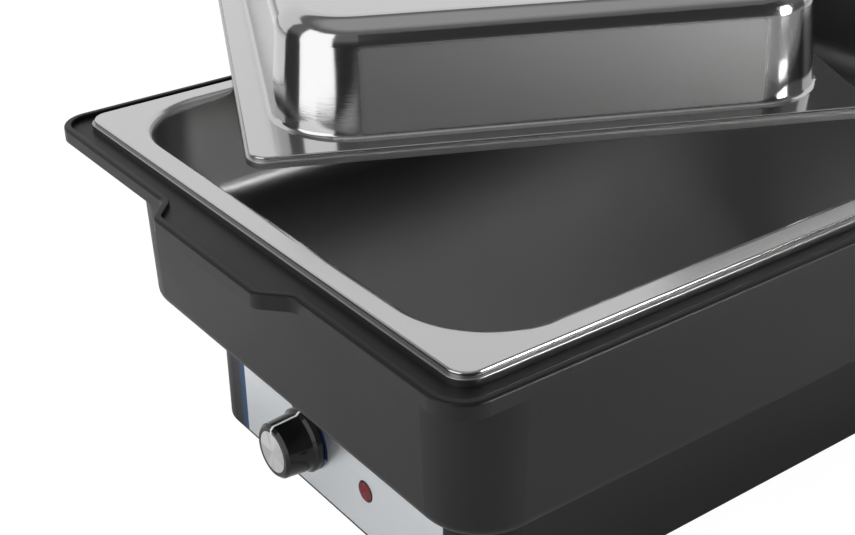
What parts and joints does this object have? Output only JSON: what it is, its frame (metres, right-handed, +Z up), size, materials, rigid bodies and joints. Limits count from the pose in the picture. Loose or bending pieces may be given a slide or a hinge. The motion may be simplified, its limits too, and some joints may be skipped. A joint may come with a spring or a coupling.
{
  "type": "electric food warmer",
  "caption": "Electric countertop food warmer: black water trough on a narrower base with thermostat knob and pilot lamp, full-size steel pan hung in it, and a loose steel lid lying across.",
  "frame": {"origin": "on the table under the middle of the base; the pan's outline is centred over it", "axes": "+Z up, +X along the pan's long side away from the control end, +Y across the pan towards the side the lid overhangs"},
  "size_m": [0.579, 0.6953, 0.2816],
  "materials": {
    "black_plastic": "fine-grained matt black moulding",
    "plate_steel": "satin silver with a bluish cast",
    "knob_plastic": "glossy black",
    "cap_aluminium": "spun",
    "white_plastic": "white inlay",
    "grey_plastic": "plain",
    "zinc_steel": "zinc plated",
    "red_lens": "tinted",
    "silicone": "soft",
    "sheath_steel": "annealed",
    "brass": "plain",
    "foot_rubber": "matt",
    "pan_steel": "brushed stainless",
    "lid_steel": "mirror-polished stainless"
  },
  "bodies": {
    "base": {"water_trough": "black_plastic", "base_housing": "black_plastic", "base_floor": "black_plastic", "control_plate": "plate_steel", "thermostat_body": "grey_plastic", "thermostat_nut": "zinc_steel", "lamp_lens": "red_lens", "lamp_body": "grey_plastic", "heater_gasket": "silicone", "heater_plate": "pan_steel", "heating_element": "sheath_steel", "element_terminals": "brass", "clamp_bar_front": "zinc_steel", "clamp_bar_rear": "zinc_steel", "clamp_nuts": "zinc_steel", "thermal_cutout": "grey_plastic", "sensor_tube": "brass", "sensor_clip": "zinc_steel", "terminal_block": "grey_plastic", "cable_gland": "black_plastic", "gland_nut": "black_plastic", "foot_front_left": "foot_rubber", "foot_front_right": "foot_rubber", "foot_rear_left": "foot_rubber", "foot_rear_right": "foot_rubber", "housing_screws": "zinc_steel", "floor_screws": "zinc_steel"},
    "pan": {"food_pan": "pan_steel"},
    "lid": {"lid_shell": "lid_steel", "lid_handle": "knob_plastic", "handle_washers": "silicone", "handle_screws": "zinc_steel"},
    "knob": {"control_knob": "knob_plastic", "knob_cap": "cap_aluminium", "knob_pointer": "white_plastic", "thermostat_shaft": "zinc_steel"}
  },
  "joints": [
    {"name": "pan_lift", "type": "slide", "parent": "base", "child": "pan", "axis": [0, 0, 1], "range_m": [0, 0.12]},
    {"name": "lid_lift", "type": "slide", "parent": "pan", "child": "lid", "axis": [0, 0, 1], "range_m": [0, 0.15]},
    {"name": "knob_turn", "type": "hinge", "parent": "base", "child": "knob", "pos_m": [-0.2255, 0.021, 0.0333], "axis": [1, 0, 0], "range_deg": [-175, 95]}
  ]
}
